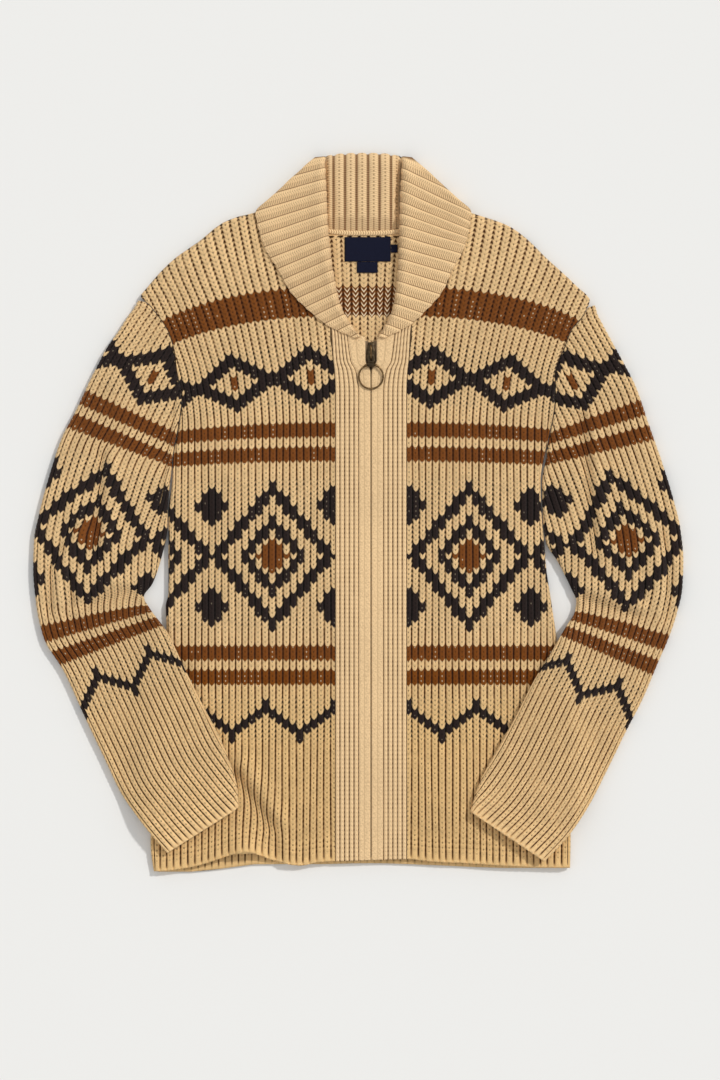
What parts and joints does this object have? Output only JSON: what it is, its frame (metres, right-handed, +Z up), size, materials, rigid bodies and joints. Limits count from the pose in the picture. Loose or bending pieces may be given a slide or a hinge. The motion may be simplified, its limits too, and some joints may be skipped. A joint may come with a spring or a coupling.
{
  "type": "zip cardigan",
  "caption": "Chunky rib-knit cardigan lying flat, front up, with a shawl collar, a full zip with a ring pull, and long sleeves folded in over the body.",
  "frame": {"origin": "on the surface it lies on, under the middle of the laid garment's bounding box", "axes": "+Z up from the surface, +Y from hem to collar, +X to the wearer's left"},
  "size_m": [0.691, 0.7634, 0.0214],
  "materials": {
    "knit": "matte",
    "collar": "matte",
    "band": "matte",
    "tape": "matte",
    "brass": "satin",
    "label": "matte"
  },
  "bodies": {
    "garment": {"back": "knit", "front_left": "knit", "front_right": "knit", "sleeve_left": "knit", "sleeve_right": "knit", "collar": "collar", "band_left": "band", "band_right": "band", "zip_tape_left": "tape", "zip_tape_right": "tape", "zip_chain": "brass", "zip_box": "brass", "zip_slider": "brass", "label_main": "label", "label_size": "label", "label_care": "label"},
    "pull_tab": {"zip_pull_tab": "brass"},
    "pull_ring": {"zip_ring": "brass"}
  },
  "joints": [
    {"name": "pull_tab_hinge", "type": "hinge", "parent": "garment", "child": "pull_tab", "pos_m": [0.0135, 0.16635, 0.0102], "axis": [-1, 0, 0], "range_deg": [0, 110]},
    {"name": "pull_ring_hinge", "type": "hinge", "parent": "pull_tab", "child": "pull_ring", "pos_m": [0.0135, 0.15635, 0.0132], "axis": [-1, 0, 0], "range_deg": [0, 60]}
  ]
}
